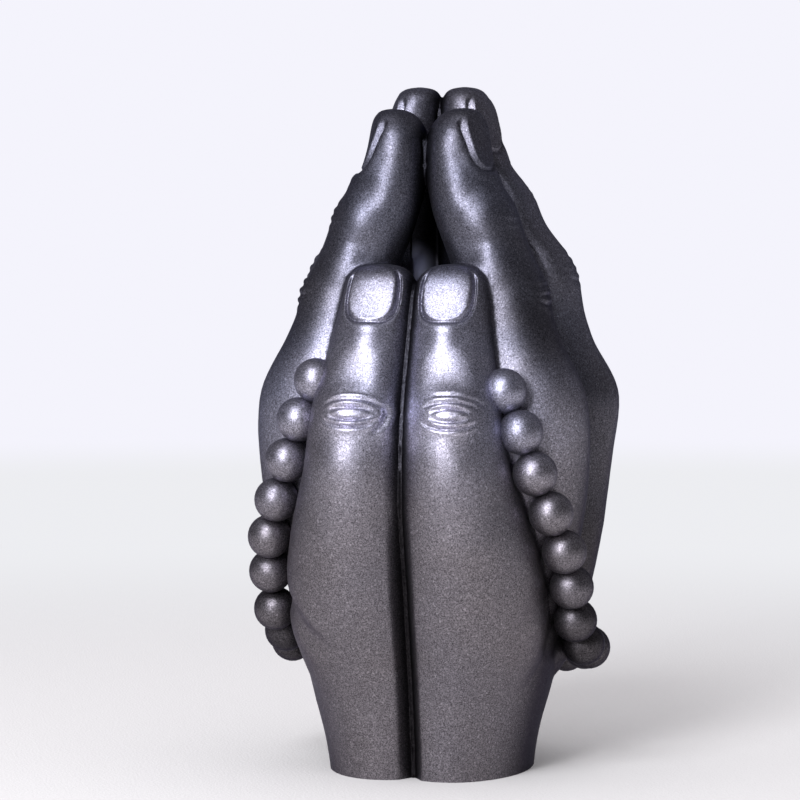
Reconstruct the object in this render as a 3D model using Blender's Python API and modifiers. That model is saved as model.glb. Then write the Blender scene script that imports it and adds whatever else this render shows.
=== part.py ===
"""Praying hands statue with a string of beads, cast in one piece.

Metres, +Z up. The origin is the middle of the flat base, the thumbs face -Y and the palms meet at x = 0.
"""

import math

import bmesh
import bpy
import numpy as np
from mathutils import Matrix, Vector
from mathutils.bvhtree import BVHTree

# The statue over all: across the knuckles, from the thumbs to the little fingers, and up to the fingertips.
STATUE_WIDTH = 0.0786
STATUE_DEPTH = 0.080
STATUE_HEIGHT = 0.1473

# The forms are drawn on a grid that the statue fills. They stretch with the sizes above. The wrists are
# drawn longer and cut flat at the grid's base level.
GRID_WIDTH = 78.6
GRID_DEPTH = 80
GRID_HEIGHT = 147.3
GRID_BASE = 1.3
ACROSS = STATUE_WIDTH / GRID_WIDTH
DEEP = STATUE_DEPTH / GRID_DEPTH
UP = STATUE_HEIGHT / GRID_HEIGHT

# A row of a form is (height, inner x, outer x, middle y, half width along y) on the grid, from the wrist
# up to the form's end.
WRIST = [
    (-8, -8, 21.2, 0.0, 21.6),
    (0, -8, 21.6, 0.0, 22.0),
    (7, -8, 22.6, 0.0, 22.8),
    (14, -8, 24.4, 0.0, 24.2),
    (22, -8, 26.6, 0.6, 26.2),
    (30, -8, 28.2, 2.0, 27.6),
    (42, -7, 27.0, 4.0, 26.0),
]
THUMB = [
    (2, -6, 17.0, -8.0, 13.6),
    (14, -6, 20.6, -8.6, 15.2),
    (25, -6, 25.8, -9.6, 17.2),
    (34, -6, 28.2, -11.6, 18.4),
    (44, -5, 27.8, -15.6, 16.8),
    (53, -3.5, 26.2, -19.4, 15.2),
    (60, -2.5, 24.0, -22.0, 12.8),
    (67, -1.2, 22.0, -24.2, 11.2),
    (74, -0.4, 20.7, -25.4, 10.4),
    (81, -0.2, 20.1, -24.8, 9.8),
    (88, -0.3, 18.5, -22.0, 8.8),
    (95, -0.6, 17.2, -18.6, 8.3),
    (101, -0.8, 16.3, -15.8, 7.9),
    (106, -0.4, 15.5, -14.6, 7.2),
    (110.4, 2.6, 12.8, -14.4, 4.4),
]
INDEX = [
    (16, -2, 24.6, -3.0, 12.0),
    (32, -1, 28.4, -4.0, 12.0),
    (50, 0, 33.6, -6.4, 11.6),
    (64, 1, 36.0, -8.6, 11.2),
    (77, 5, 36.4, -10.0, 10.2),
    (85, 9, 35.4, -10.4, 9.4),
    (93, 10, 30.0, -10.0, 8.8),
    (100, 8.6, 27.5, -8.0, 8.4),
    (105, 7.4, 27.4, -6.6, 8.6),
    (110, 5.8, 24.0, -6.2, 8.3),
    (118, 2.5, 20.8, -6.2, 8.0),
    (123, 1.0, 19.8, -6.0, 8.0),
    (128, 0.0, 15.2, -5.2, 7.8),
    (134, -0.3, 13.4, -4.6, 7.4),
    (139.6, 0.3, 12.6, -3.8, 6.4),
    (143.6, 4.4, 11.4, -3.4, 4.0),
]
MIDDLE = [
    (16, -5, 26.6, 4.0, 12.0),
    (32, -4, 31.4, 5.5, 12.0),
    (50, -3, 36.2, 7.5, 11.5),
    (66, -2, 37.4, 8.6, 11.0),
    (78, -2, 39.6, 9.0, 10.4),
    (85, -2, 39.4, 9.2, 9.8),
    (93, -2, 33.2, 9.3, 9.0),
    (102, -2, 30.8, 9.3, 8.8),
    (109.5, -2, 30.8, 9.3, 8.9),
    (116, -2, 24.6, 9.3, 8.4),
    (121, -2, 21.6, 9.3, 8.2),
    (126, -1, 20.4, 9.3, 8.3),
    (132, -0.6, 14.2, 9.3, 8.0),
    (138, -0.4, 12.6, 9.4, 7.5),
    (144.6, -0.3, 11.2, 9.5, 6.8),
    (148.8, 0.8, 9.0, 9.6, 4.6),
]
RING = [
    (16, -5, 25.4, 11.0, 12.0),
    (32, -4, 29.6, 14.0, 12.0),
    (50, -3, 33.6, 18.5, 11.5),
    (64, -2, 34.6, 21.5, 11.0),
    (74, -2, 36.0, 23.0, 10.2),
    (81, -2, 35.4, 23.6, 9.6),
    (89, -2, 30.0, 24.0, 8.8),
    (97, -2, 27.8, 24.2, 8.5),
    (103, -2, 27.4, 24.2, 8.6),
    (109, -2, 22.6, 24.2, 8.2),
    (115, -2, 19.8, 24.0, 7.9),
    (120, -1, 18.8, 23.8, 8.0),
    (126, -0.6, 13.8, 23.4, 7.6),
    (132, -0.4, 12.0, 23.0, 7.1),
    (137, -0.3, 10.6, 22.6, 6.3),
    (140.6, 0.6, 8.2, 22.2, 4.4),
]
LITTLE = [
    (16, -5, 23.5, 15.0, 11.0),
    (32, -5, 26.5, 20.5, 12.0),
    (48, -4, 29.4, 27.0, 11.5),
    (60, -3, 30.8, 31.5, 10.5),
    (69, -2, 31.8, 34.5, 9.2),
    (76, -2, 30.4, 36.0, 8.4),
    (83, -2, 25.6, 36.6, 7.7),
    (89, -2, 23.6, 36.8, 7.4),
    (94, -2, 22.8, 36.8, 7.5),
    (99, -2, 18.6, 36.4, 7.1),
    (104, -1, 16.6, 36.0, 7.0),
    (109, -0.6, 13.2, 35.4, 6.7),
    (114, -0.4, 11.4, 34.8, 6.2),
    (118.5, -0.3, 9.8, 34.2, 5.4),
    (121.8, 0.6, 7.4, 33.8, 3.6),
]
PALM = [
    (14, -6, 24.8, 3.0, 21.0),
    (30, -6, 29.2, 7.0, 25.0),
    (48, -6, 33.2, 10.6, 28.6),
    (62, -5, 34.4, 12.6, 29.4),
    (73, -3, 34.0, 13.4, 28.4),
    (80, 1, 30.0, 13.6, 26.0),
]

# A nail is (middle x, y, z on the grid, half width, half length, degrees it leans back, degrees it faces
# away from -Y). It stands proud of the finger by the rise, with a groove and a rim of skin round it.
NAILS = [
    (8.0, -23.0, 104.9, 0.0054, 0.0067, 24, 0),
    (12.6, -6.6, 136.4, 0.0042, 0.0064, 22, 74),
    (11.4, 6.6, 141.0, 0.0045, 0.0066, 18, 70),
    (11.4, 21.2, 133.0, 0.0044, 0.0062, 17, 76),
    (10.8, 34.6, 115.0, 0.0038, 0.0052, 17, 88),
]
NAIL_RISE = 0.00035
NAIL_BEVEL = 0.0006
NAIL_GROOVE_DEPTH = 0.0007
NAIL_GROOVE_WIDTH = 0.0009
NAIL_RIM_WIDTH = 0.0014
NAIL_REACH = 2.2
NAIL_SQUARENESS = 3.4

# The folds over the thumb's joint: ovals round a middle point, each (half width, half height).
THUMB_FOLD_MIDDLE = (10.6, -35.0, 79.6)
THUMB_FOLDS = [(0.004, 0.0013), (0.0066, 0.003)]
FOLD_DEPTH = 0.00055
FOLD_WIDTH = 0.0008
FOLD_REACH = 1.2 * THUMB_FOLDS[-1][0]

# The groove where the two wrists meet, in front and behind. It runs out between two heights at the palms.
SEAM_DEPTH = 0.0022
SEAM_HALF_WIDTH = 0.0028
SEAM_LOW = 44
SEAM_HIGH = 60

# The string of beads, each sunk a little into the hands and into the next bead. The route is drawn on the
# +X side, from the middle in front down to the middle behind.
BEAD_DIAMETER = 0.0094
BEAD_OVERLAP = 0.00015
BEAD_PITCH = BEAD_DIAMETER - BEAD_OVERLAP
BEAD_SINK = 0.001
BEAD_PHASE = 0.62
BEAD_ROUTE = [
    (0, -9.0, 89.6),
    (10.0, -12.4, 89.2),
    (17.0, -15.8, 87.0),
    (21.4, -19.4, 82.4),
    (24.8, -22.4, 73.0),
    (28.0, -22.6, 64.4),
    (31.6, -20.0, 55.0),
    (33.6, -16.4, 47.0),
    (34.2, -11.8, 39.6),
    (34.4, -6.2, 32.8),
    (34.2, 1.6, 27.6),
    (31.6, 10.6, 26.8),
    (25.6, 19.0, 26.4),
    (13.6, 27.6, 25.8),
    (0, 30.4, 25.4),
]

CAGE_SIDES = 12
CAGE_LEVELS = 2
VOXEL = 0.0007
SMOOTH_PASSES = 4
HAND_FACES = 7400

STATUE_COLOUR = (0.055, 0.055, 0.068, 1)
STATUE_ROUGHNESS = 0.42
STATUE_METALLIC = 0.85


def clear_scene():
    for thing in list(bpy.data.objects):
        bpy.data.objects.remove(thing, do_unlink=True)


def new_collection(name):
    collection = bpy.data.collections.new(name)
    bpy.context.scene.collection.children.link(collection)
    return collection


def gunmetal_paint():
    material = bpy.data.materials.new("gunmetal_paint")
    material.use_nodes = True
    shader = material.node_tree.nodes["Principled BSDF"]
    shader.inputs["Base Color"].default_value = STATUE_COLOUR
    shader.inputs["Roughness"].default_value = STATUE_ROUGHNESS
    shader.inputs["Metallic"].default_value = STATUE_METALLIC
    return material


def on_grid(x, y, z):
    """The place in metres of a point on the grid."""
    return Vector((x * ACROSS, y * DEEP, (z - GRID_BASE) * UP))


def add_oval(bm, row, swell):
    """One oval of the cage, made wider by swell because subdivision draws a cage in."""
    height, inner, outer, middle, half = row
    place = Matrix.Translation(on_grid((inner + outer) / 2, middle, height))
    shape = Matrix.Diagonal((*on_grid((outer - inner) / 2, half, 0).xy * swell, 1, 1))
    return bmesh.ops.create_circle(bm, segments=CAGE_SIDES, radius=1, matrix=place @ shape)["verts"]


def add_form(bm, rows):
    """A finger, thumb or wrist: ovals bridged from the lowest to the highest, with both ends closed."""
    swell = 3 / (2 + math.cos(math.tau / CAGE_SIDES))
    ovals = [add_oval(bm, row, swell) for row in rows]
    for low, high in zip(ovals, ovals[1:]):
        edges = {edge for vert in low + high for edge in vert.link_edges}
        rims = [e for e in edges if set(e.verts) <= set(low) or set(e.verts) <= set(high)]
        bmesh.ops.bridge_loops(bm, edges=rims)
    bm.faces.new(ovals[0])
    bm.faces.new(ovals[-1])


def both_sides(bm):
    """Copies everything across x = 0."""
    copied = bmesh.ops.duplicate(bm, geom=bm.verts[:] + bm.edges[:] + bm.faces[:])["geom"]
    verts = [part for part in copied if isinstance(part, bmesh.types.BMVert)]
    faces = [part for part in copied if isinstance(part, bmesh.types.BMFace)]
    bmesh.ops.scale(bm, vec=(-1, 1, 1), verts=verts)
    bmesh.ops.reverse_faces(bm, faces=faces)


def new_object(name, bm, collection):
    mesh = bpy.data.meshes.new(name)
    bm.to_mesh(mesh)
    bm.free()
    thing = bpy.data.objects.new(name, mesh)
    collection.objects.link(thing)
    return thing


def as_helper(thing):
    thing.hide_render = True
    thing.display_type = "WIRE"
    return thing


def add_modifier(thing, kind, **settings):
    modifier = thing.modifiers.new(kind.lower(), kind)
    for name, value in settings.items():
        setattr(modifier, name, value)


def make_real(thing):
    """Replaces the object's mesh with the one that its modifiers give."""
    graph = bpy.context.evaluated_depsgraph_get()
    mesh = bpy.data.meshes.new_from_object(thing.evaluated_get(graph))
    thing.modifiers.clear()
    thing.data = mesh


def bump(distance, width):
    """1 at no distance, falling smoothly to 0 at width."""
    return np.clip(1 - (distance / width) ** 2, 0, 1) ** 2


def read_vectors(mesh, name):
    values = np.empty(3 * len(mesh.vertices), np.float32)
    mesh.vertices.foreach_get(name, values)
    return values.reshape(-1, 3).astype(float)


def nail_shift(across, along, half_width):
    """How far the surface rises at a place given in half widths and half lengths from a nail's middle."""
    edge = (abs(across) ** NAIL_SQUARENESS + abs(along) ** NAIL_SQUARENESS) ** (1 / NAIL_SQUARENESS)
    beyond = (edge - 1) * half_width
    plate = NAIL_RISE * np.clip(-beyond / NAIL_BEVEL, 0, 1)
    groove = NAIL_GROOVE_DEPTH * bump(beyond, NAIL_GROOVE_WIDTH)
    rim = NAIL_RISE * bump(beyond - NAIL_RIM_WIDTH, NAIL_RIM_WIDTH) * (along < 0.5)
    return plate - groove + rim


def nail_lift(places, normals, side, nail):
    """The shift of each point of the surface that this nail gives."""
    x, y, z, half_width, half_length, lean, turn = nail
    facing = Matrix.Rotation(math.radians(turn), 3, "Z") @ Matrix.Rotation(math.radians(-lean), 3, "X")
    mirror = Matrix.Diagonal((side, 1, 1))
    across, along, out = (np.array(mirror @ facing @ Vector(v)) for v in ((1, 0, 0), (0, 0, 1), (0, -1, 0)))
    offset = places - on_grid(side * x, y, z)
    close = (np.linalg.norm(offset, axis=1) < NAIL_REACH * half_length) & (normals @ out > 0.2)
    shift = nail_shift(offset @ across / half_width, offset @ along / half_length, half_width)
    return np.outer(np.where(close, shift, 0), out)


def fold_lift(places, normals, side):
    """The shift of each point that the folds over the thumb's joint give."""
    x, y, z = on_grid(*THUMB_FOLD_MIDDLE)
    across = side * places[:, 0] - x
    up = places[:, 2] - z
    close = (places[:, 1] < y + FOLD_REACH) & (across > -x)
    depth = 0
    for half_width, half_height in THUMB_FOLDS:
        distance = (np.hypot(across / half_width, up / half_height) - 1) * half_height
        depth = depth + FOLD_DEPTH * bump(distance, FOLD_WIDTH)
    return -normals * np.where(close, depth, 0)[:, None]


def seam_lift(places):
    """The shift of each point that the groove between the wrists gives."""
    height = places[:, 2] / UP + GRID_BASE
    fade = np.clip((SEAM_HIGH - height) / (SEAM_HIGH - SEAM_LOW), 0, 1)
    depth = SEAM_DEPTH * fade * bump(places[:, 0], SEAM_HALF_WIDTH)
    return np.outer(-depth, (0, 1, 0)) * np.sign(places[:, 1])[:, None]


def carve(mesh):
    places = read_vectors(mesh, "co")
    normals = read_vectors(mesh, "normal")
    shift = seam_lift(places)
    for side in (-1, 1):
        shift += fold_lift(places, normals, side)
        for nail in NAILS:
            shift += nail_lift(places, normals, side, nail)
    mesh.vertices.foreach_set("co", (places + shift).astype(np.float32).ravel())
    mesh.update()


def route_points(corners, steps=24):
    """Points on a smooth closed curve through the corners."""
    points = []
    for i in range(len(corners)):
        before, start, end, after = (corners[(i + k) % len(corners)] for k in (-1, 0, 1, 2))
        for step in range(steps):
            t = step / steps
            bend = 2 * before - 5 * start + 4 * end - after
            twist = 3 * start - before - 3 * end + after
            points.append(start + ((end - before) * t + bend * t**2 + twist * t**3) / 2)
    return points


def bead_middles():
    """Equal steps round the whole string, as near to the pitch as a whole number of beads allows."""
    far_side = [(-x, y, z) for x, y, z in reversed(BEAD_ROUTE[1:-1])]
    points = route_points([on_grid(*corner) for corner in BEAD_ROUTE + far_side])
    lengths = [(b - a).length for a, b in zip(points, points[1:] + points[:1])]
    count = round(sum(lengths) / BEAD_PITCH)
    step = sum(lengths) / count
    middles = []
    walked = 0
    wanted = BEAD_PHASE * step
    for i, length in enumerate(lengths):
        while walked + length > wanted and len(middles) < count:
            middles.append(points[i].lerp(points[(i + 1) % len(points)], (wanted - walked) / length))
            wanted += step
        walked += length
    return middles


def bead_objects(hands, cutters):
    """The beads, each moved along the nearest skin's normal until it is sunk into it by BEAD_SINK."""
    skin = hands.data
    tree = BVHTree.FromPolygons([v.co for v in skin.vertices], [p.vertices[:] for p in skin.polygons])
    beads = []
    for middle in bead_middles():
        touch, out, _, _ = tree.find_nearest(middle)
        place = Matrix.Translation(touch + out * (BEAD_DIAMETER / 2 - BEAD_SINK))
        bm = bmesh.new()
        bmesh.ops.create_icosphere(bm, subdivisions=2, radius=BEAD_DIAMETER / 2, matrix=place)
        beads.append(as_helper(new_object("bead", bm, cutters)))
    return beads


def base_cutter(cutters):
    """A block under z = 0 that is wider than the statue and deeper than its lowest oval."""
    place = Matrix.Translation((0, 0, -STATUE_HEIGHT / 4))
    shape = Matrix.Diagonal((2 * STATUE_WIDTH, 2 * STATUE_DEPTH, STATUE_HEIGHT / 2, 1))
    bm = bmesh.new()
    bmesh.ops.create_cube(bm, size=1, matrix=place @ shape)
    return as_helper(new_object("base_cut", bm, cutters))


clear_scene()
parts = new_collection("praying_hands_statue")
cutters = new_collection("cutters")

cage = bmesh.new()
for rows in (WRIST, PALM, THUMB, INDEX, MIDDLE, RING, LITTLE):
    add_form(cage, rows)
bmesh.ops.recalc_face_normals(cage, faces=cage.faces)
both_sides(cage)
hands = new_object("praying_hands", cage, parts)
add_modifier(hands, "SUBSURF", levels=CAGE_LEVELS, render_levels=CAGE_LEVELS)
add_modifier(hands, "REMESH", mode="VOXEL", voxel_size=VOXEL, use_smooth_shade=True)
add_modifier(hands, "SMOOTH", factor=0.5, iterations=SMOOTH_PASSES)
make_real(hands)
carve(hands.data)
add_modifier(hands, "DECIMATE", ratio=HAND_FACES / (2 * len(hands.data.polygons)))
make_real(hands)
add_modifier(hands, "BOOLEAN", operation="DIFFERENCE", object=base_cutter(cutters), solver="EXACT")
for bead in bead_objects(hands, cutters):
    add_modifier(hands, "BOOLEAN", operation="UNION", object=bead, solver="EXACT")
make_real(hands)
for helper in list(cutters.objects):
    bpy.data.objects.remove(helper, do_unlink=True)
hands.data.materials.clear()
hands.data.materials.append(gunmetal_paint())
hands.data.shade_smooth()
hands.data.set_sharp_from_angle(angle=math.radians(40))
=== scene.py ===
"""The praying hands statue as it looks: one casting in satin gunmetal paint, on a pale table."""

import math

import bpy
import numpy as np
from mathutils import Matrix, Vector
from mathutils.bvhtree import BVHTree


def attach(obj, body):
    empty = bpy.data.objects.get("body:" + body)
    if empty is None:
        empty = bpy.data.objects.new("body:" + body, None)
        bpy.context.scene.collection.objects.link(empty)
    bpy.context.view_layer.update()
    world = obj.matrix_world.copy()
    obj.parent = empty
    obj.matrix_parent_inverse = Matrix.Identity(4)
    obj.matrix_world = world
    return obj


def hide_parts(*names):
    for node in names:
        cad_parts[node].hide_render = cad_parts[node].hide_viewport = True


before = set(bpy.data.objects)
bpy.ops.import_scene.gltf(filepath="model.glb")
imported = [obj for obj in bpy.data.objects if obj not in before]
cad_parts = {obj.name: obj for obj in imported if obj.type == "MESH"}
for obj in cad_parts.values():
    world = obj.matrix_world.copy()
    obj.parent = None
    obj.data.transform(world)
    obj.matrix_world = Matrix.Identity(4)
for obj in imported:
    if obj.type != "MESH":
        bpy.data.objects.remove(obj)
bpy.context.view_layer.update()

# The two hands, palm to palm, cast in resin as one solid piece. Each is modelled as its wrist, palm,
# thumb and four fingers, and the other is its mirror image. They flow together where they touch.

# A row of a form is (height, inner x, outer x, middle y, half width along y), in millimetres. The wrists
# are drawn longer, and all is set down by the base level before they are cut flat on the table.
MM = 0.001
BASE_LEVEL = 1.3
FORMS = {
    "wrist": [
        (-8, -8, 21.2, 0.0, 21.6),
        (0, -8, 21.6, 0.0, 22.0),
        (7, -8, 22.6, 0.0, 22.8),
        (14, -8, 24.4, 0.0, 24.2),
        (22, -8, 26.6, 0.6, 26.2),
        (30, -8, 28.2, 2.0, 27.6),
        (42, -7, 27.0, 4.0, 26.0),
    ],
    "palm": [
        (14, -6, 24.8, 3.0, 21.0),
        (30, -6, 29.2, 7.0, 25.0),
        (48, -6, 33.2, 10.6, 28.6),
        (62, -5, 34.4, 12.6, 29.4),
        (73, -3, 34.0, 13.4, 28.4),
        (80, 1, 30.0, 13.6, 26.0),
    ],
    "thumb": [
        (2, -6, 17.0, -8.0, 13.6),
        (14, -6, 20.6, -8.6, 15.2),
        (25, -6, 25.8, -9.6, 17.2),
        (34, -6, 28.2, -11.6, 18.4),
        (44, -5, 27.8, -15.6, 16.8),
        (53, -3.5, 26.2, -19.4, 15.2),
        (60, -2.5, 24.0, -22.0, 12.8),
        (67, -1.2, 22.0, -24.2, 11.2),
        (74, -0.4, 20.7, -25.4, 10.4),
        (81, -0.2, 20.1, -24.8, 9.8),
        (88, -0.3, 18.5, -22.0, 8.8),
        (95, -0.6, 17.2, -18.6, 8.3),
        (101, -0.8, 16.3, -15.8, 7.9),
        (106, -0.4, 15.5, -14.6, 7.2),
        (110.4, 2.6, 12.8, -14.4, 4.4),
    ],
    "index": [
        (16, -2, 24.6, -3.0, 12.0),
        (32, -1, 28.4, -4.0, 12.0),
        (50, 0, 33.6, -6.4, 11.6),
        (64, 1, 36.0, -8.6, 11.2),
        (77, 5, 36.4, -10.0, 10.2),
        (85, 9, 35.4, -10.4, 9.4),
        (93, 10, 30.0, -10.0, 8.8),
        (100, 8.6, 27.5, -8.0, 8.4),
        (105, 7.4, 27.4, -6.6, 8.6),
        (110, 5.8, 24.0, -6.2, 8.3),
        (118, 2.5, 20.8, -6.2, 8.0),
        (123, 1.0, 19.8, -6.0, 8.0),
        (128, 0.0, 15.2, -5.2, 7.8),
        (134, -0.3, 13.4, -4.6, 7.4),
        (139.6, 0.3, 12.6, -3.8, 6.4),
        (143.6, 4.4, 11.4, -3.4, 4.0),
    ],
    "middle": [
        (16, -5, 26.6, 4.0, 12.0),
        (32, -4, 31.4, 5.5, 12.0),
        (50, -3, 36.2, 7.5, 11.5),
        (66, -2, 37.4, 8.6, 11.0),
        (78, -2, 39.6, 9.0, 10.4),
        (85, -2, 39.4, 9.2, 9.8),
        (93, -2, 33.2, 9.3, 9.0),
        (102, -2, 30.8, 9.3, 8.8),
        (109.5, -2, 30.8, 9.3, 8.9),
        (116, -2, 24.6, 9.3, 8.4),
        (121, -2, 21.6, 9.3, 8.2),
        (126, -1, 20.4, 9.3, 8.3),
        (132, -0.6, 14.2, 9.3, 8.0),
        (138, -0.4, 12.6, 9.4, 7.5),
        (144.6, -0.3, 11.2, 9.5, 6.8),
        (148.8, 0.8, 9.0, 9.6, 4.6),
    ],
    "ring": [
        (16, -5, 25.4, 11.0, 12.0),
        (32, -4, 29.6, 14.0, 12.0),
        (50, -3, 33.6, 18.5, 11.5),
        (64, -2, 34.6, 21.5, 11.0),
        (74, -2, 36.0, 23.0, 10.2),
        (81, -2, 35.4, 23.6, 9.6),
        (89, -2, 30.0, 24.0, 8.8),
        (97, -2, 27.8, 24.2, 8.5),
        (103, -2, 27.4, 24.2, 8.6),
        (109, -2, 22.6, 24.2, 8.2),
        (115, -2, 19.8, 24.0, 7.9),
        (120, -1, 18.8, 23.8, 8.0),
        (126, -0.6, 13.8, 23.4, 7.6),
        (132, -0.4, 12.0, 23.0, 7.1),
        (137, -0.3, 10.6, 22.6, 6.3),
        (140.6, 0.6, 8.2, 22.2, 4.4),
    ],
    "little": [
        (16, -5, 23.5, 15.0, 11.0),
        (32, -5, 26.5, 20.5, 12.0),
        (48, -4, 29.4, 27.0, 11.5),
        (60, -3, 30.8, 31.5, 10.5),
        (69, -2, 31.8, 34.5, 9.2),
        (76, -2, 30.4, 36.0, 8.4),
        (83, -2, 25.6, 36.6, 7.7),
        (89, -2, 23.6, 36.8, 7.4),
        (94, -2, 22.8, 36.8, 7.5),
        (99, -2, 18.6, 36.4, 7.1),
        (104, -1, 16.6, 36.0, 7.0),
        (109, -0.6, 13.2, 35.4, 6.7),
        (114, -0.4, 11.4, 34.8, 6.2),
        (118.5, -0.3, 9.8, 34.2, 5.4),
        (121.8, 0.6, 7.4, 33.8, 3.6),
    ],
}
CAGE_SIDES = 12
HAND_VOXEL = 0.5
SOFTENING = 5


def model_form(name, rows):
    """An oval is drawn on the lowest row and pulled up from row to row, as a finger is modelled by hand."""
    swell = 3 / (2 + math.cos(math.tau / CAGE_SIDES))
    middles = [Vector(((inner + outer) / 2, y, z)) * MM for z, inner, outer, y, _ in rows]
    halves = [((outer - inner) / 2 * swell * MM, half * swell * MM) for _, inner, outer, _, half in rows]
    bpy.ops.mesh.primitive_circle_add(vertices=CAGE_SIDES, radius=1, fill_type="NGON", location=middles[0])
    form = bpy.context.object
    form.name = name
    bpy.ops.object.mode_set(mode="EDIT")
    bpy.ops.mesh.select_all(action="SELECT")
    bpy.ops.transform.resize(value=(*halves[0], 1), center_override=middles[0])
    for i in range(1, len(rows)):
        bpy.ops.mesh.extrude_region_move(TRANSFORM_OT_translate={"value": middles[i] - middles[i - 1]})
        ratio = (halves[i][0] / halves[i - 1][0], halves[i][1] / halves[i - 1][1], 1)
        bpy.ops.transform.resize(value=ratio, center_override=middles[i])
    bpy.ops.mesh.select_all(action="SELECT")
    bpy.ops.mesh.normals_make_consistent(inside=False)
    bpy.ops.object.mode_set(mode="OBJECT")
    return form


def finish_with(thing, kind, **settings):
    """Adds a modifier and applies it."""
    bpy.context.view_layer.objects.active = thing
    modifier = thing.modifiers.new(kind.lower(), kind)
    for name, value in settings.items():
        setattr(modifier, name, value)
    bpy.ops.object.modifier_apply(modifier=modifier.name)


bpy.ops.object.select_all(action="DESELECT")
forms = [model_form(name, rows) for name, rows in FORMS.items()]
for form in forms:
    form.select_set(True)
bpy.ops.object.join()
hands = bpy.context.object
hands.name = "hands_and_beads"
bpy.ops.object.transform_apply(location=True, rotation=True, scale=True)
finish_with(hands, "SUBSURF", levels=2, render_levels=2)
finish_with(hands, "MIRROR", use_mirror_merge=False)
finish_with(hands, "REMESH", mode="VOXEL", voxel_size=HAND_VOXEL * MM)
finish_with(hands, "SMOOTH", factor=0.5, iterations=SOFTENING)


def read_vectors(items, name):
    """The coordinates or normals of a mesh's vertices or faces, as rows."""
    values = np.empty(3 * len(items), np.float32)
    items.foreach_get(name, values)
    return values.reshape(-1, 3).astype(float)


def distances(points, x, y, z):
    """How far each point is from a place on its own hand, with x measured outwards."""
    offset = np.abs(points) * (1, 0, 0) + points * (0, 1, 1) - (x, y, z)
    return np.linalg.norm(offset, axis=1)


# The places that carry fine carving get smaller faces: (outer x, y, z, reach) of each nail and joint,
# and a strip down the front between the hands, where the two halves of the mould met.
CARVED = [
    (8.0, -24, 103.5, 9.5),
    (10.8, -33, 79.0, 8.5),
    (11.4, -9, 136.0, 8.5),
    (11.4, 6, 140.6, 8.5),
    (11.4, 21, 133.0, 8.0),
    (10.8, 34, 115.0, 7.0),
    (19.0, -8, 121.0, 7.0),
    (26.0, -8, 104.0, 9.0),
    (20.0, 9, 126.0, 7.0),
    (30.0, 9, 109.5, 8.5),
    (18.0, 24, 120.0, 6.5),
    (27.0, 24, 103.0, 8.0),
    (16.0, 36, 104.0, 6.0),
    (22.0, 37, 94.0, 7.0),
]
STRIP_HALF_WIDTH = 2.2
STRIP_FRONT = -14
middles = read_vectors(hands.data.polygons, "center") / MM
fine = np.zeros(len(middles), bool)
for x, y, z, reach in CARVED:
    fine |= distances(middles, x, y, z) < reach
fine |= (abs(middles[:, 0]) < STRIP_HALF_WIDTH) & (middles[:, 1] < STRIP_FRONT)
hands.data.polygons.foreach_set("select", fine)
bpy.ops.object.mode_set(mode="EDIT")
bpy.ops.mesh.select_mode(type="FACE")
bpy.ops.mesh.subdivide(number_cuts=1)
bpy.ops.object.mode_set(mode="OBJECT")
places = read_vectors(hands.data.vertices, "co") / MM
normals = read_vectors(hands.data.vertices, "normal")
shift = np.zeros_like(places)


def bump(distance, width):
    """1 at no distance, falling smoothly to 0 at width."""
    return np.clip(1 - (distance / width) ** 2, 0, 1) ** 2


# The nails, modelled in the casting's master: a smooth plate with a groove round it and a soft fold
# of skin outside the groove. The free edge at the tip has neither. A nail is (middle x, y, z, half width,
# half length, degrees it leans back, degrees it turns from the front).
NAILS = [
    (8.0, -23.0, 104.9, 5.4, 6.7, 24, 0),
    (12.6, -6.6, 136.4, 4.2, 6.4, 22, 74),
    (11.4, 6.6, 141.0, 4.5, 6.6, 18, 70),
    (11.4, 21.2, 133.0, 4.4, 6.2, 17, 76),
    (10.8, 34.6, 115.0, 3.8, 5.2, 17, 88),
]
NAIL_RISE = 0.3
NAIL_BEVEL = 0.5
NAIL_FLATTENING = 1.2
NAIL_GROOVE = 0.7
NAIL_GROOVE_WIDTH = 0.6
NAIL_GROOVE_GAP = 0.15
NAIL_RIM = 0.32
NAIL_RIM_WIDTH = 1.2
NAIL_SQUARENESS = 2.9
NAIL_FREE_EDGE = 0.9
NAIL_FREE_FADE = 0.35
NAIL_REACH = 2.2
NAIL_FACING = 0.1


def nail_shift(across, along, half_width):
    """How far the surface moves out. Across and along go from 0 at the nail's middle to 1 at its edge."""
    edge = (abs(across) ** NAIL_SQUARENESS + abs(along) ** NAIL_SQUARENESS) ** (1 / NAIL_SQUARENESS)
    beyond = (edge - 1) * half_width
    flatter = NAIL_FLATTENING * (np.clip(across**2, 0, 1) - 0.5) * half_width / NAILS[0][3]
    plate = (NAIL_RISE + flatter) * np.clip(-beyond / NAIL_BEVEL, 0, 1)
    at_skin = np.clip((NAIL_FREE_EDGE - along) / NAIL_FREE_FADE, 0, 1)
    groove = NAIL_GROOVE * bump(beyond - NAIL_GROOVE_GAP, NAIL_GROOVE_WIDTH) * at_skin
    rim = NAIL_RIM * bump(beyond - NAIL_RIM_WIDTH, NAIL_RIM_WIDTH) * at_skin
    return plate - groove + rim


def nail_lift(side, nail):
    """The move of each point for one nail of the left hand, side -1, or the right hand, side 1."""
    x, y, z, half_width, half_length, lean, turn = nail
    facing = Matrix.Rotation(math.radians(turn), 3, "Z") @ Matrix.Rotation(math.radians(-lean), 3, "X")
    mirror = Matrix.Diagonal((side, 1, 1))
    directions = ((1, 0, 0), (0, 0, 1), (0, -1, 0))
    across, along, out = (np.array(mirror @ facing @ Vector(v)) for v in directions)
    offset = places - (side * x, y, z)
    close = (np.linalg.norm(offset, axis=1) < NAIL_REACH * half_length) & (normals @ out > NAIL_FACING)
    lift = nail_shift(offset @ across / half_width, offset @ along / half_length, half_width)
    return np.outer(np.where(close, lift, 0), out)


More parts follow.
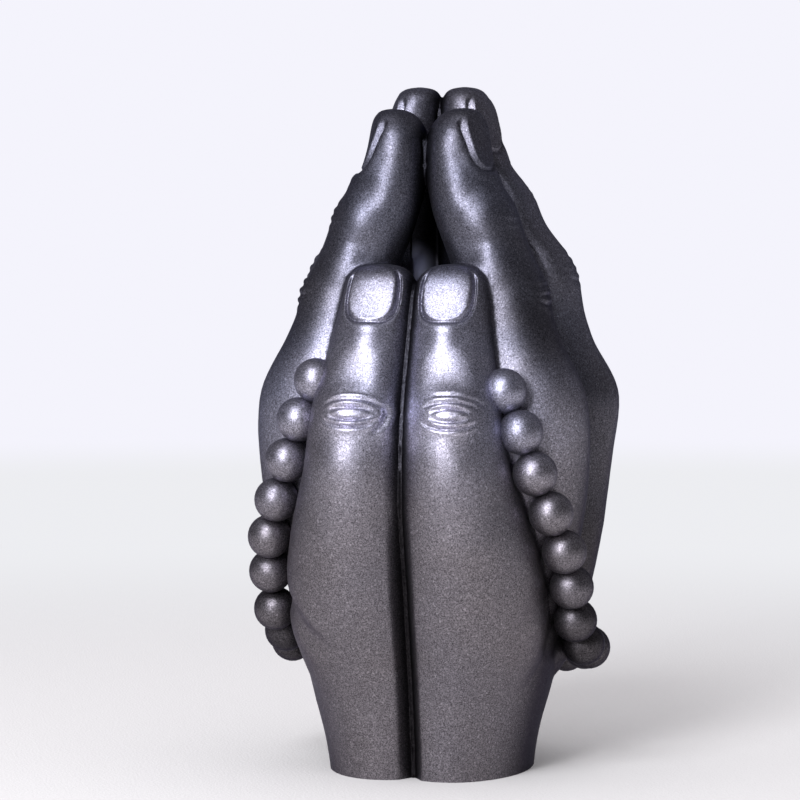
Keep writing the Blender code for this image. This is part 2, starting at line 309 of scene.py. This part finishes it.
for side in (-1, 1):
    for nail in NAILS:
        shift += nail_lift(side, nail)


# The groove where the wrists and thumbs meet, in front and behind. It runs out at the palms, and
# a thin line stands in it where the two halves of the mould met.
SEAM_DEPTH = 2.2
SEAM_HALF_WIDTH = 2.8
SEAM_LOW = 44
SEAM_HIGH = 60
MOULD_LINE_HEIGHT = 0.35
MOULD_LINE_WIDTH = 0.45
MOULD_LINE_FRONT = -16
MOULD_LINE_BACK = 20
fade = np.clip((SEAM_HIGH - places[:, 2]) / (SEAM_HIGH - SEAM_LOW), 0, 1)
seam = SEAM_DEPTH * fade * bump(places[:, 0], SEAM_HALF_WIDTH)
outside = (places[:, 1] < MOULD_LINE_FRONT) | (places[:, 1] > MOULD_LINE_BACK)
seam -= MOULD_LINE_HEIGHT * bump(places[:, 0], MOULD_LINE_WIDTH) * outside
shift[:, 1] -= seam * np.sign(places[:, 1])


# The skin folds over the thumbs' joints: lines pressed in with a ridge along each side, a small eye
# inside a wider one. A stroke is points (x, z) as seen from the front, its depth and its width.
RIGHT_EYE = (11.4, 79.2)
LEFT_EYE = (-9.6, 79.6)
ARC_POINTS = 13


def arc(middle, half_width, half_height, start, end):
    """Points on part of an oval, from one angle to another in degrees."""
    angles = np.radians(np.linspace(start, end, ARC_POINTS))
    x, z = middle
    return [(x + half_width * math.cos(a), z + half_height * math.sin(a)) for a in angles]


THUMB_FOLDS = [
    (arc(RIGHT_EYE, 3.8, 1.3, 10, 170), 0.5, 0.55),
    (arc(RIGHT_EYE, 3.8, 1.3, 190, 350), 0.45, 0.55),
    (arc(RIGHT_EYE, 6.4, 2.6, 25, 160), 0.4, 0.55),
    (arc(RIGHT_EYE, 6.4, 2.8, 195, 330), 0.45, 0.55),
    ([(7.2, 83.2), (12.5, 83.2), (16.2, 82.2), (19.2, 80.4)], 0.25, 0.55),
    (arc(LEFT_EYE, 4.4, 1.1, 5, 175), 0.55, 0.55),
    (arc(LEFT_EYE, 4.4, 1.5, 185, 355), 0.5, 0.55),
    (arc(LEFT_EYE, 6.6, 2.9, 15, 165), 0.42, 0.55),
    (arc(LEFT_EYE, 6.8, 2.9, 190, 345), 0.42, 0.55),
    ([(-3.2, 81.4), (-2.2, 79.4), (-3.0, 77.2), (-5.0, 75.6)], 0.5, 0.9),
]
FOLDS_FRONT = -23
FOLDS_FACING = -0.1
FOLDS_MIDDLE = 79
FOLDS_REACH = 8
RIDGE_HEIGHT = 0.4
RIDGE_DISTANCE = 1.5


def stroke_depth(across, up, stroke, depth, width):
    """How deep a pressed line is at each point, less the ridge along it. It tapers to its ends."""
    steps = [math.dist(p, q) for p, q in zip(stroke, stroke[1:])]
    nearest = np.full(len(across), np.inf)
    taper = np.zeros(len(across))
    walked = 0
    for (x0, z0), (x1, z1), step in zip(stroke, stroke[1:], steps):
        dx, dz = x1 - x0, z1 - z0
        part = np.clip(((across - x0) * dx + (up - z0) * dz) / step**2, 0, 1)
        distance = np.hypot(across - x0 - part * dx, up - z0 - part * dz)
        closer = distance < nearest
        nearest[closer] = distance[closer]
        taper[closer] = 1 - abs(2 * (walked + part[closer] * step) / sum(steps) - 1) ** 3
        walked += step
    ridge = RIDGE_HEIGHT * bump(nearest - RIDGE_DISTANCE * width, width)
    return depth * taper * (bump(nearest, width) - ridge)


pressed = np.zeros(len(places))
front = (places[:, 1] < FOLDS_FRONT) & (normals[:, 1] < FOLDS_FACING)
close = front & (abs(places[:, 2] - FOLDS_MIDDLE) < FOLDS_REACH)
for stroke, depth, width in THUMB_FOLDS:
    pressed[close] += stroke_depth(places[close, 0], places[close, 2], stroke, depth, width)


# The wrinkles over the fingers' joints, on the backs of the fingers: (y, z), half length along y,
# how many, the distance between them and their depth.
FINGER_WRINKLES = [
    (-8.0, 120.8, 4.4, 3, 1.7, 0.16),
    (-8.4, 104.4, 6.0, 4, 2.0, 0.26),
    (8.2, 126.0, 4.6, 3, 1.7, 0.1),
    (8.0, 109.4, 6.0, 4, 2.0, 0.15),
    (23.6, 120.2, 4.4, 3, 1.6, 0.15),
    (24.0, 103.2, 5.6, 4, 1.9, 0.22),
    (36.2, 104.4, 3.8, 2, 1.6, 0.14),
    (36.8, 94.2, 4.8, 4, 1.7, 0.2),
]
WRINKLE_WIDTH = 0.75
WRINKLE_TAPER = 0.16
WRINKLE_BOW = 0.22
WRINKLE_LENGTHS = (0.8, 1.05)
WRINKLE_DEPTHS = (0.7, 1.2)
WRINKLE_SLIP = 0.8
WRINKLE_WAVE = 0.22
WRINKLE_FACING = 0.12
WRINKLE_OUTER_X = 9
WRINKLE_MARGIN_Y = 3
WRINKLE_MARGIN_Z = 2
wander = np.random.default_rng(7)
for side in (-1, 1):
    outer = (side * normals[:, 0] > WRINKLE_FACING) & (side * places[:, 0] > WRINKLE_OUTER_X)
    for y, z, half_length, count, pitch, depth in FINGER_WRINKLES:
        close = outer & (abs(places[:, 1] - y) < half_length + WRINKLE_MARGIN_Y)
        close &= abs(places[:, 2] - z) < count * pitch + WRINKLE_MARGIN_Z
        for i in range(count):
            level = i - (count - 1) / 2
            reach = half_length * (1 - WRINKLE_TAPER * abs(level)) * wander.uniform(*WRINKLE_LENGTHS)
            middle = y + wander.uniform(-WRINKLE_SLIP, WRINKLE_SLIP)
            bow = WRINKLE_BOW * level * pitch
            stroke = []
            for t in (-1, -0.6, -0.2, 0.2, 0.6, 1):
                wave = wander.uniform(-WRINKLE_WAVE, WRINKLE_WAVE)
                stroke.append((middle + reach * t, z + level * pitch - bow * t * t * 2 + wave))
            deep = depth * wander.uniform(*WRINKLE_DEPTHS)
            pressed[close] += stroke_depth(places[close, 1], places[close, 2], stroke, deep, WRINKLE_WIDTH)


# The creases between the fingers, on the outer sides of both hands, as points (y, z).
FINGER_CREASES = [
    [(0.1, 60), (-0.8, 85), (1.2, 105), (1.4, 118), (1.9, 128), (2.2, 134), (2.4, 142)],
    [(15.2, 62), (16.8, 85), (16.9, 103), (16.7, 120), (16.6, 132), (16.7, 141)],
    [(27.0, 58), (30.4, 76), (31.0, 94), (30.6, 109), (30.3, 120)],
]
FINGER_CREASE_DEPTH = 1.1
FINGER_CREASE_WIDTH = 1.7
FINGER_CREASE_FACING = 0.05
FINGER_CREASE_OUTER_X = 5
FINGER_CREASE_LOW_Z = 55
outer = (abs(normals[:, 0]) > FINGER_CREASE_FACING) & (abs(places[:, 0]) > FINGER_CREASE_OUTER_X)
outer &= places[:, 2] > FINGER_CREASE_LOW_Z
for stroke in FINGER_CREASES:
    pressed[outer] += stroke_depth(
        places[outer, 1], places[outer, 2], stroke, FINGER_CREASE_DEPTH, FINGER_CREASE_WIDTH
    )


# The soft crease under the ball of the thumb, deeper on the left hand: points (x, z) as seen from the
# front, its depth and its width.
BALL_CREASES = [
    ([(-31.5, 47.0), (-27.5, 39.5), (-21.5, 32.6), (-15.3, 28.7)], 0.8, 2.6),
    ([(30.0, 44.0), (27.0, 37.5), (22.5, 32.5)], 0.35, 2.4),
]
BALL_FRONT = -8
BALL_LOW_Z = 24
BALL_HIGH_Z = 52
close = (places[:, 1] < BALL_FRONT) & (normals[:, 1] < 0)
close &= (places[:, 2] > BALL_LOW_Z) & (places[:, 2] < BALL_HIGH_Z)
for stroke, depth, width in BALL_CREASES:
    pressed[close] += stroke_depth(places[close, 0], places[close, 2], stroke, depth, width)

# The small round swellings and hollows of the flesh, under the nails' roots and over the joints: (outer
# x, y, z), reach and height.
SWELLINGS = [
    (15.2, -7.0, 127.2, 3.2, 0.55),
    (14.4, 8.0, 131.6, 3.0, 0.35),
    (26.8, -11.0, 104.6, 5.5, 0.5),
    (20.2, -10.0, 121.0, 4.5, 0.35),
    (13.4, -13.0, 119.6, 6.0, 0.6),
    (16.3, -14.5, 109.3, 6.0, 0.6),
    (11.6, -12.5, 125.1, 5.0, -0.5),
    (11.0, -14.5, 113.6, 5.0, -0.4),
    (5.3, -11.5, 136.3, 6.0, 0.5),
    (8.4, -27.0, 95.5, 5.0, 0.5),
    (9.6, -31.0, 88.0, 7.0, -0.6),
    (10.5, -35.0, 79.8, 8.0, 0.8),
    (11.0, -35.0, 66.0, 12.0, 0.8),
]
for x, y, z, reach, height in SWELLINGS:
    pressed -= height * bump(distances(places, x, y, z), reach)

carved = (places + shift - normals * pressed[:, None]) * MM
hands.data.vertices.foreach_set("co", carved.astype(np.float32).ravel())
hands.data.update()

# The casting's skin is a little uneven all over.
UNEVEN_SIZE = 9
UNEVEN_HEIGHT = 0.3
clouds = bpy.data.textures.new("uneven_casting", "CLOUDS")
clouds.noise_scale = UNEVEN_SIZE * MM
clouds.noise_depth = 1
finish_with(
    hands, "DISPLACE", texture=clouds, texture_coords="LOCAL", strength=UNEVEN_HEIGHT * MM, mid_level=0.5
)


# The string of round beads, cast in one with the hands and sunk a little into them. It runs from
# behind the thumbs, down between thumb and palm on each side, and round the back of the wrists.
BEAD_DIAMETER = 9.4
BEAD_OVERLAP = 0.15
BEAD_SINK = 1.0
BEAD_PHASE = 0.62
BEAD_SEGMENTS = 32
BEAD_RINGS = 16
BEAD_ROUTE = [
    (0, -9.0, 89.6),
    (10.0, -12.4, 89.2),
    (17.0, -15.8, 87.0),
    (21.4, -19.4, 82.4),
    (24.8, -22.4, 73.0),
    (28.0, -22.6, 64.4),
    (31.6, -20.0, 55.0),
    (33.6, -16.4, 47.0),
    (34.2, -11.8, 39.6),
    (34.4, -6.2, 32.8),
    (34.2, 1.6, 27.6),
    (31.6, 10.6, 26.8),
    (25.6, 19.0, 26.4),
    (13.6, 27.6, 25.8),
    (0, 30.4, 25.4),
]


def route_points(corners, steps=24):
    """Points on a smooth closed curve through the corners."""
    points = []
    for i in range(len(corners)):
        before, start, end, after = (Vector(corners[(i + k) % len(corners)]) for k in (-1, 0, 1, 2))
        for step in range(steps):
            t = step / steps
            bend = 2 * before - 5 * start + 4 * end - after
            twist = 3 * start - before - 3 * end + after
            points.append(start + ((end - before) * t + bend * t**2 + twist * t**3) / 2)
    return points


def bead_middles():
    """Equal steps round the whole string, as near to the pitch as a whole number of beads allows."""
    far_side = [(-x, y, z) for x, y, z in reversed(BEAD_ROUTE[1:-1])]
    points = route_points(BEAD_ROUTE + far_side)
    lengths = [(b - a).length for a, b in zip(points, points[1:] + points[:1])]
    count = round(sum(lengths) / (BEAD_DIAMETER - BEAD_OVERLAP))
    step = sum(lengths) / count
    middles = []
    walked = 0
    wanted = BEAD_PHASE * step
    for i, length in enumerate(lengths):
        while walked + length > wanted and len(middles) < count:
            middles.append(points[i].lerp(points[(i + 1) % len(points)], (wanted - walked) / length))
            wanted += step
        walked += length
    return middles


skin = hands.data
tree = BVHTree.FromPolygons([v.co for v in skin.vertices], [p.vertices[:] for p in skin.polygons])
beads = []
for middle in bead_middles():
    touch, out, _, _ = tree.find_nearest(middle * MM)
    place = touch + out * (BEAD_DIAMETER / 2 - BEAD_SINK) * MM
    bpy.ops.mesh.primitive_uv_sphere_add(
        segments=BEAD_SEGMENTS, ring_count=BEAD_RINGS, radius=BEAD_DIAMETER / 2 * MM, location=place
    )
    beads.append(bpy.context.object)

# The skin is thinned where it is flattest, and then each bead is joined to it.
SKIN_TRIANGLES = 158000
triangles = sum(len(p.vertices) - 2 for p in hands.data.polygons)
finish_with(hands, "DECIMATE", ratio=SKIN_TRIANGLES / triangles)
for bead in beads:
    finish_with(hands, "BOOLEAN", operation="UNION", object=bead, solver="MANIFOLD")
    bpy.data.objects.remove(bead)


# The plain flat base. The casting is set down, and its wrists are cut off on the table's level. Only
# the sharp edges, such as the base's, are shaded sharp.
CUT_WIDTH = 120
CUT_DEPTH = 30
SHARP_ANGLE = 50
bpy.ops.object.select_all(action="DESELECT")
hands.select_set(True)
bpy.context.view_layer.objects.active = hands
bpy.ops.transform.translate(value=(0, 0, -BASE_LEVEL * MM))
bpy.ops.object.transform_apply(location=True, rotation=False, scale=False)
cut_size = Vector((CUT_WIDTH, CUT_WIDTH, CUT_DEPTH)) * MM
bpy.ops.mesh.primitive_cube_add(size=1, location=(0, 0, -CUT_DEPTH / 2 * MM), scale=cut_size)
cut = bpy.context.object
finish_with(hands, "BOOLEAN", operation="DIFFERENCE", object=cut, solver="MANIFOLD")
bpy.data.objects.remove(cut)
hands.select_set(True)
bpy.context.view_layer.objects.active = hands
bpy.ops.object.shade_smooth_by_angle(angle=math.radians(SHARP_ANGLE))


# The paint over the whole casting: a satin gunmetal spray paint full of fine metal grains, a little
# browner in some clouds than in others, over the cast resin. The slit between the hands and the hollow
# behind the thumbs are darkened with painted shade.
class Wire:
    """A shader socket that can be added, subtracted, multiplied and raised to a power."""

    def __init__(self, tree, socket=None):
        self.tree = tree
        self.socket = socket

    def node(self, kind, settings=None, output=0, **inputs):
        """Adds a node. An input is given by its name, or by its number after an i."""
        made = self.tree.nodes.new(kind)
        for name, value in (settings or {}).items():
            setattr(made, name, value)
        for name, value in inputs.items():
            numbered = name[0] == "i" and name[1:].isdigit()
            socket = made.inputs[int(name[1:]) if numbered else name]
            if isinstance(value, Wire):
                value.to(socket)
            else:
                socket.default_value = value
        return Wire(self.tree, made.outputs[output])

    def math(self, operation, first, second):
        return self.node("ShaderNodeMath", {"operation": operation}, i0=first, i1=second)

    def __add__(self, other):
        return self.math("ADD", self, other)

    __radd__ = __add__

    def __mul__(self, other):
        return self.math("MULTIPLY", self, other)

    __rmul__ = __mul__

    def __sub__(self, other):
        return self.math("SUBTRACT", self, other)

    def __rsub__(self, other):
        return self.math("SUBTRACT", other, self)

    def __pow__(self, other):
        return self.math("POWER", self, other)

    def to(self, socket):
        self.tree.links.new(self.socket, socket)


def new_material(name):
    """A material, its main shader and a first wire in its tree."""
    material = bpy.data.materials.new(name)
    material.use_nodes = True
    return material, material.node_tree.nodes["Principled BSDF"], Wire(material.node_tree)


def smooth_step(value, low, high, at_low, at_high):
    """Goes smoothly from one level to the other as the value goes from low to high."""
    kind = {"interpolation_type": "SMOOTHSTEP"}
    return value.node("ShaderNodeMapRange", kind, Value=value, i1=low, i2=high, i3=at_low, i4=at_high)


def from_middle(middle, radii):
    """0 at the middle of an egg shape and 1 at its shell, both given in millimetres on the drawing."""
    x, y, z = middle
    middle = Vector((x, y, z - BASE_LEVEL)) * MM
    offset = place.node("ShaderNodeVectorMath", {"operation": "SUBTRACT"}, i0=place, i1=middle)
    radii = Vector(radii) * MM
    scaled = place.node("ShaderNodeVectorMath", {"operation": "DIVIDE"}, i0=offset, i1=radii)
    return place.node("ShaderNodeVectorMath", {"operation": "LENGTH"}, output=1, i0=scaled)


# The grains, flakes and clouds of colour.
GRAIN_SCALE = 3800
GRAIN_CONTRAST = 2.4
GRAIN_RELIEF = 0.06
GRAIN_RELIEF_SHARE = 0.25
FLAKE_SCALE = 3000
FLAKE_SHARPNESS = 10
FLAKE_LEVEL = 0.7
MEAN_LEVEL = 0.95
LEAST_LEVEL = 0.25
CLOUD_SCALE = 45
CLOUD_CONTRAST = 1.2
CLOUD_THRESHOLD = 0.2
LOW_CLOUDS = 0.3
LOW_COOLNESS = 0.2
COOL_LIGHT_RISE = 0.2
WARM_METAL = (0.205, 0.180, 0.180, 1)
COOL_METAL = (0.185, 0.185, 0.235, 1)
SHEEN = (0.38, 0.38, 0.44, 1)
PAINT_ROUGHNESS = 0.42
ROUGHNESS_RISE = 0.08

# Where the paint is brighter or darker, in millimetres on the drawing. Painted shade darkens the slit and
# the hollow, but for one pale patch of painted light in the hollow. It is brighter in front, most where a
# painted highlight lies over the thumbs' joints, less bright on the fingers, and a little brighter at the
# rear.
# Painted shade darkens it low down, and a painted shadow falls on one index finger.
SLIT_SHADE_BOTTOM = 0.2
SLIT_SHADE_HALF_WIDTH = 3.2
SLIT_SHADE_LEVEL = 0.1
HOLLOW_SHADE_MIDDLE = (0, -1, 113)
HOLLOW_SHADE_RADII = (7.5, 9, 19)
HOLLOW_SHADE_FADE = (0.65, 1.15)
HOLLOW_SHADE_LEVEL = 0.12
LIT_PATCH_MIDDLE = (-3, -1, 109.5)
LIT_PATCH_RADII = (5.5, 8, 7.5)
LIT_PATCH_FADE = (0.3, 1)
LIT_PATCH_COLOUR = (0.72, 0.75, 1.0, 1)
LIT_PATCH_LEVEL = 1.3
FRONT_BRIGHT_Y = -20
BACK_DARK_Y = -6
FRONT_BRIGHTNESS = 1.45
BACK_BRIGHTNESS = 0.58
FINGERS_LOW_Z = 80
FINGERS_HIGH_Z = 95
FINGERS_SHIFT = 6
JOINT_HIGHLIGHT_MIDDLE = (0, -36, 79)
JOINT_HIGHLIGHT_RADII = (24, 9, 10)
JOINT_HIGHLIGHT_FADE = (0.5, 1)
JOINT_HIGHLIGHT_LEVEL = 1.6
REAR_START_Y = 0
REAR_END_Y = 14
REAR_LEVEL = 1.5
INDEX_SHADOW_MIDDLE = (20, -13, 91)
INDEX_SHADOW_RADII = (13, 12, 24)
INDEX_SHADOW_FADE = (0.3, 1.1)
INDEX_SHADOW_LEVEL = 0.5
LOW_Z = 45
HIGH_Z = 85
LOW_SHADE_LEVEL = 0.56
paint, shader, wire = new_material("gunmetal_paint")
place = wire.node("ShaderNodeTexCoord", output="Object")
grain = wire.node("ShaderNodeTexNoise", Vector=place, Scale=GRAIN_SCALE, Detail=1, Roughness=0.5)
patches = wire.node("ShaderNodeTexNoise", Vector=place, Scale=CLOUD_SCALE, Detail=2, Roughness=0.5)
flakes = wire.node("ShaderNodeTexVoronoi", output="Color", Vector=place, Scale=FLAKE_SCALE)
flake = wire.node("ShaderNodeSeparateColor", Color=flakes)
up = wire.node("ShaderNodeSeparateXYZ", output=2, i0=place)
high = smooth_step(up, LOW_Z * MM, HIGH_Z * MM, 0, 1)
# Cooler higher up and warmer low down, a painted tint of the cool light from above and the warm light from
# the cloth, laid over the browner clouds that the paint has.
coolness = (patches * CLOUD_CONTRAST - CLOUD_THRESHOLD) * (high * (1 - LOW_CLOUDS) + LOW_CLOUDS)
coolness = coolness + high * COOL_LIGHT_RISE + LOW_COOLNESS
metal = wire.node(
    "ShaderNodeMix", {"data_type": "RGBA"}, output=2, i0=coolness, i6=WARM_METAL, i7=COOL_METAL
)
brightness = (grain - 0.5) * GRAIN_CONTRAST + MEAN_LEVEL + flake**FLAKE_SHARPNESS * FLAKE_LEVEL
brightness = wire.math("MAXIMUM", brightness, LEAST_LEVEL)

across = wire.node("ShaderNodeSeparateXYZ", i0=place)
deep = wire.node("ShaderNodeSeparateXYZ", output=1, i0=place)
# Brighter in front and darker further back, and the fingers count as further back.
deep += smooth_step(up, FINGERS_LOW_Z * MM, FINGERS_HIGH_Z * MM, 0, FINGERS_SHIFT * MM)
brightness *= smooth_step(deep, FRONT_BRIGHT_Y * MM, BACK_DARK_Y * MM, FRONT_BRIGHTNESS, BACK_BRIGHTNESS)
# Painted shade: darker towards the base.
brightness *= high * (1 - LOW_SHADE_LEVEL) + LOW_SHADE_LEVEL
brightness *= smooth_step(deep, REAR_START_Y * MM, REAR_END_Y * MM, 1, REAR_LEVEL)
# Painted shadow over one index finger and the beads beside it.
brightness *= smooth_step(from_middle(INDEX_SHADOW_MIDDLE, INDEX_SHADOW_RADII), *INDEX_SHADOW_FADE, INDEX_SHADOW_LEVEL, 1)
# Painted highlight over the thumbs' joints.
brightness *= smooth_step(from_middle(JOINT_HIGHLIGHT_MIDDLE, JOINT_HIGHLIGHT_RADII), *JOINT_HIGHLIGHT_FADE, JOINT_HIGHLIGHT_LEVEL, 1)
# Painted shade in the slit between the hands.
from_slit = wire.math("ABSOLUTE", across, 0)
brightness *= smooth_step(from_slit, SLIT_SHADE_BOTTOM * MM, SLIT_SHADE_HALF_WIDTH * MM, SLIT_SHADE_LEVEL, 1)
# A pale patch of painted light in the hollow.
in_lit_patch = smooth_step(from_middle(LIT_PATCH_MIDDLE, LIT_PATCH_RADII), *LIT_PATCH_FADE, 1, 0)
# Painted shade in the hollow behind the thumbs.
hollow = smooth_step(from_middle(HOLLOW_SHADE_MIDDLE, HOLLOW_SHADE_RADII), *HOLLOW_SHADE_FADE, HOLLOW_SHADE_LEVEL, 1)
brightness = wire.math("MAXIMUM", brightness * hollow, in_lit_patch * LIT_PATCH_LEVEL)
# The patch of painted light takes a pale lavender colour.
metal = wire.node("ShaderNodeMix", {"data_type": "RGBA"}, output=2, i0=in_lit_patch, i6=metal, i7=LIT_PATCH_COLOUR)

colour = wire.node("ShaderNodeVectorMath", {"operation": "SCALE"}, i0=metal, Scale=brightness)
relief = wire.node(
    "ShaderNodeBump", Strength=GRAIN_RELIEF_SHARE, Distance=GRAIN_RELIEF * MM, Height=grain
)
colour.to(shader.inputs["Base Color"])
relief.to(shader.inputs["Normal"])
(patches * ROUGHNESS_RISE + PAINT_ROUGHNESS).to(shader.inputs["Roughness"])
shader.inputs["Metallic"].default_value = 1
shader.inputs["Specular Tint"].default_value = SHEEN
hands.data.materials.clear()
hands.data.materials.append(paint)
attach(hands, "root")
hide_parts("praying_hands")


# The table that it stands on, under a plain pale cloth. It shows the shadow near the statue and melts
# into the wall far away. Its sizes and distances are in metres.
TABLE_SIZE = 2.34
CLOTH_COLOUR = (0.53, 0.515, 0.49, 1)
FAR_COLOUR = (0.845, 0.85, 0.88, 1)
HORIZON_COLOUR = (0.905, 0.90, 0.975, 1)
HORIZON_START = 0.84
HORIZON_END = 1.16
FADE_START = 0.1
FADE_END = 0.5
THREAD_SCALE = 1500
THREAD_RELIEF = 0.0003
THREAD_RELIEF_SHARE = 0.5
CLOTH_ROUGHNESS = 0.9
bpy.ops.mesh.primitive_plane_add(size=TABLE_SIZE)
table = bpy.context.object
table.name = "table"
cloth, shader, wire = new_material("pale_cloth")
place = wire.node("ShaderNodeTexCoord", output="Object")
threads = wire.node("ShaderNodeTexNoise", Vector=place, Scale=THREAD_SCALE, Detail=2)
relief = wire.node(
    "ShaderNodeBump", Strength=THREAD_RELIEF_SHARE, Distance=THREAD_RELIEF, Height=threads
)
relief.to(shader.inputs["Normal"])
shader.inputs["Base Color"].default_value = CLOTH_COLOUR
shader.inputs["Roughness"].default_value = CLOTH_ROUGHNESS
distance = wire.node("ShaderNodeVectorMath", {"operation": "LENGTH"}, output=1, i0=place)
fade = smooth_step(distance, FADE_START, FADE_END, 0, 1)
near = Wire(cloth.node_tree, shader.outputs["BSDF"])
horizon = smooth_step(distance, HORIZON_START, HORIZON_END, 0, 1)
far_colour = wire.node(
    "ShaderNodeMix", {"data_type": "RGBA"}, output=2, i0=horizon, i6=FAR_COLOUR, i7=HORIZON_COLOUR
)
far = wire.node("ShaderNodeEmission", Color=far_colour, Strength=1)
surface = wire.node("ShaderNodeMixShader", i0=fade, i1=near, i2=far)
surface.to(cloth.node_tree.nodes["Material Output"].inputs["Surface"])
table.data.materials.append(cloth)


# The room: a pale wall all round that also fills the shadows. Reflections show it dimmed, and darker
# towards the camera than behind the statue.
WALL_COLOUR = (0.92, 0.915, 0.99, 1)
WALL_STRENGTH = 0.985
FILL_STRENGTH = 1.25
DIM_FRONT_Y = -0.7
DIM_BACK_Y = 0.6
DIM_FRONT_LEVEL = 0.03
DIM_BACK_LEVEL = 0.22
world = bpy.data.worlds.new("pale_room")
bpy.context.scene.world = world
world.use_nodes = True
background = world.node_tree.nodes["Background"]
room = Wire(world.node_tree)
camera_ray = room.node("ShaderNodeLightPath", output="Is Camera Ray")
glossy_ray = room.node("ShaderNodeLightPath", output="Is Glossy Ray")
clear_ray = room.node("ShaderNodeLightPath", output="Is Transmission Ray")
seen = room.math("MAXIMUM", room.math("MAXIMUM", camera_ray, glossy_ray), clear_ray)
direction = room.node("ShaderNodeTexCoord", output="Generated")
depth = room.node("ShaderNodeSeparateXYZ", output=1, i0=direction)
dim = smooth_step(depth, DIM_FRONT_Y, DIM_BACK_Y, DIM_FRONT_LEVEL, DIM_BACK_LEVEL)
strength = (seen * (WALL_STRENGTH - FILL_STRENGTH) + FILL_STRENGTH) * (1 - glossy_ray * (1 - dim))
strength.to(background.inputs["Strength"])
background.inputs["Color"].default_value = WALL_COLOUR


# The lamps: a large softbox high in front and a smaller one low in front, both a little to the left.
# Distances are in metres and angles in degrees.
LIT_PLACE = Vector((0, 0, 0.08))


def add_softbox(name, azimuth, elevation, distance, size, white, colour):
    """A softbox that lights a white card at the statue to the given level."""
    azimuth, elevation = math.radians(azimuth), math.radians(elevation)
    level = math.cos(elevation)
    outward = Vector((math.sin(azimuth) * level, -math.cos(azimuth) * level, math.sin(elevation)))
    bpy.ops.object.light_add(type="AREA", location=LIT_PLACE + outward * distance)
    lamp = bpy.context.object
    lamp.name = name
    lamp.data.shape = "RECTANGLE"
    lamp.data.size, lamp.data.size_y = size
    lamp.data.energy = white * (math.pi * distance) ** 2
    lamp.data.color = colour
    lamp.rotation_euler = outward.to_track_quat("Z", "Y").to_euler()


add_softbox(
    "high_softbox",
    azimuth=-12,
    elevation=44,
    distance=0.8,
    size=(0.28, 0.28),
    white=0.68,
    colour=(0.90, 0.92, 1.0),
)
add_softbox(
    "low_softbox",
    azimuth=-12,
    elevation=17,
    distance=0.9,
    size=(0.22, 0.30),
    white=0.85,
    colour=(0.92, 0.93, 1.0),
)


# The camera, where the photograph was taken: a little to the right of the thumbs and just above level.
# It is shifted by some pixels of the picture, so that the statue stands in it as in the photograph.
AZIMUTH = math.radians(13)
ELEVATION = math.radians(3.5)
DISTANCE = 0.65
TARGET = Vector((0, 0, 0.0718))
SENSOR_WIDTH = 36
LENS = 135.1
PICTURE_WIDTH = 800
SHIFT_ACROSS = -32.5
SHIFT_UP = 35
back = Vector(
    (
        math.sin(AZIMUTH) * math.cos(ELEVATION),
        -math.cos(AZIMUTH) * math.cos(ELEVATION),
        math.sin(ELEVATION),
    )
)
camera_data = bpy.data.cameras.new("camera")
camera_data.sensor_width = SENSOR_WIDTH
camera_data.lens = LENS
camera_data.shift_x = SHIFT_ACROSS / PICTURE_WIDTH
camera_data.shift_y = SHIFT_UP / PICTURE_WIDTH
camera = bpy.data.objects.new("camera", camera_data)
bpy.context.scene.collection.objects.link(camera)
camera.location = TARGET + back * DISTANCE
camera.rotation_euler = back.to_track_quat("Z", "Y").to_euler()
bpy.context.scene.camera = camera
bpy.context.scene.view_settings.view_transform = "Standard"
